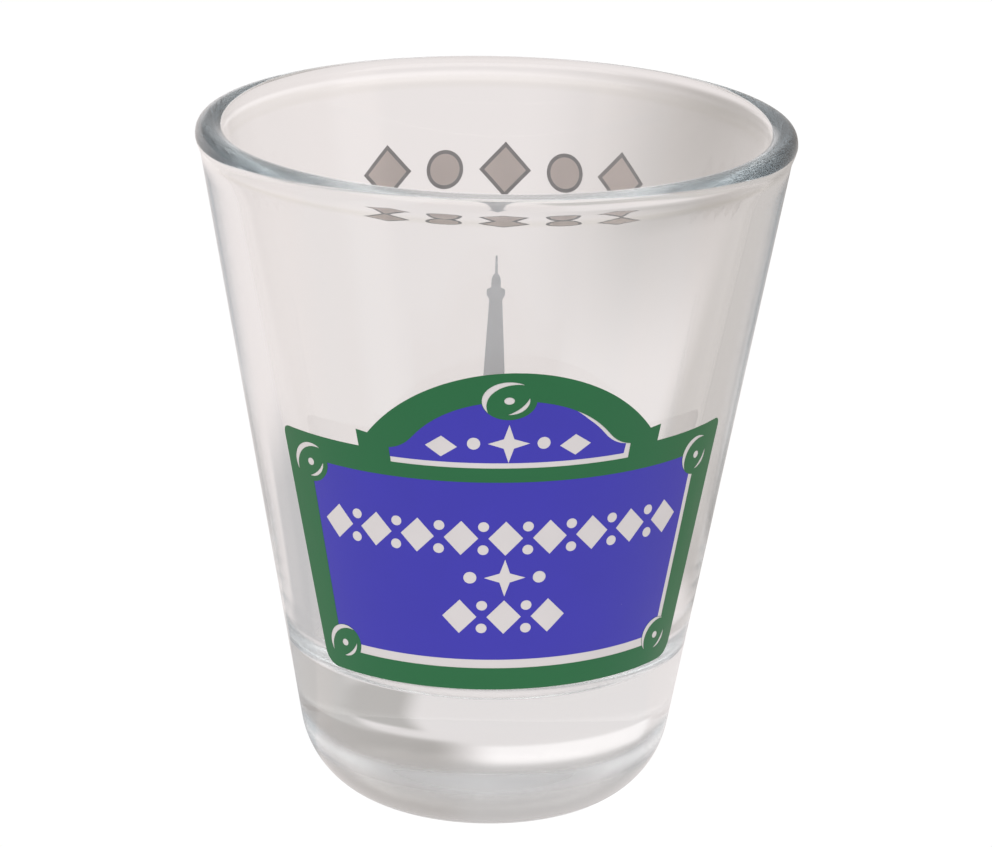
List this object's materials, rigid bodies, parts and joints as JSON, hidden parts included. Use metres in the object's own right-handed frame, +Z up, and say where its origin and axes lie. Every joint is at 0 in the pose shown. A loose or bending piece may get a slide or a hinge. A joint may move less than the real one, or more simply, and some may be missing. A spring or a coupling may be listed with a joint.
{
  "type": "shot glass",
  "caption": "Tapered shot glass with a thick base, a sign-shaped enamel plaque printed on the front, and a tower and ornament frieze on the back.",
  "frame": {"origin": "centre of the underside, at the height of the bearing ring that the glass stands on", "axes": "+Z up along the glass's axis towards the rim; -Y out of the middle of the front plaque; +X to the right when the plaque is read"},
  "size_m": [0.0512, 0.0512, 0.06],
  "materials": {
    "clear_glass": "fire-polished, clear, very slightly warm",
    "white_enamel": "fired screen-print enamel, satin gloss",
    "blue_enamel": "fired screen-print enamel, satin gloss",
    "green_enamel": "fired screen-print enamel, satin gloss",
    "slate_enamel": "fired screen-print enamel, thin",
    "taupe_enamel": "fired screen-print enamel, thin",
    "umber_enamel": "fired screen-print enamel, thin"
  },
  "bodies": {
    "root": {"glass_body": "clear_glass", "plaque_white_ground": "white_enamel", "plaque_blue_field": "blue_enamel", "plaque_blue_arch": "blue_enamel", "plaque_green_border": "green_enamel", "tower_print": "slate_enamel", "frieze_rim_1": "umber_enamel", "frieze_rim_2": "umber_enamel", "frieze_rim_3": "umber_enamel", "frieze_rim_4": "umber_enamel", "frieze_rim_5": "umber_enamel", "frieze_fill_1": "taupe_enamel", "frieze_fill_2": "taupe_enamel", "frieze_fill_3": "taupe_enamel", "frieze_fill_4": "taupe_enamel", "frieze_fill_5": "taupe_enamel"}
  },
  "joints": []
}
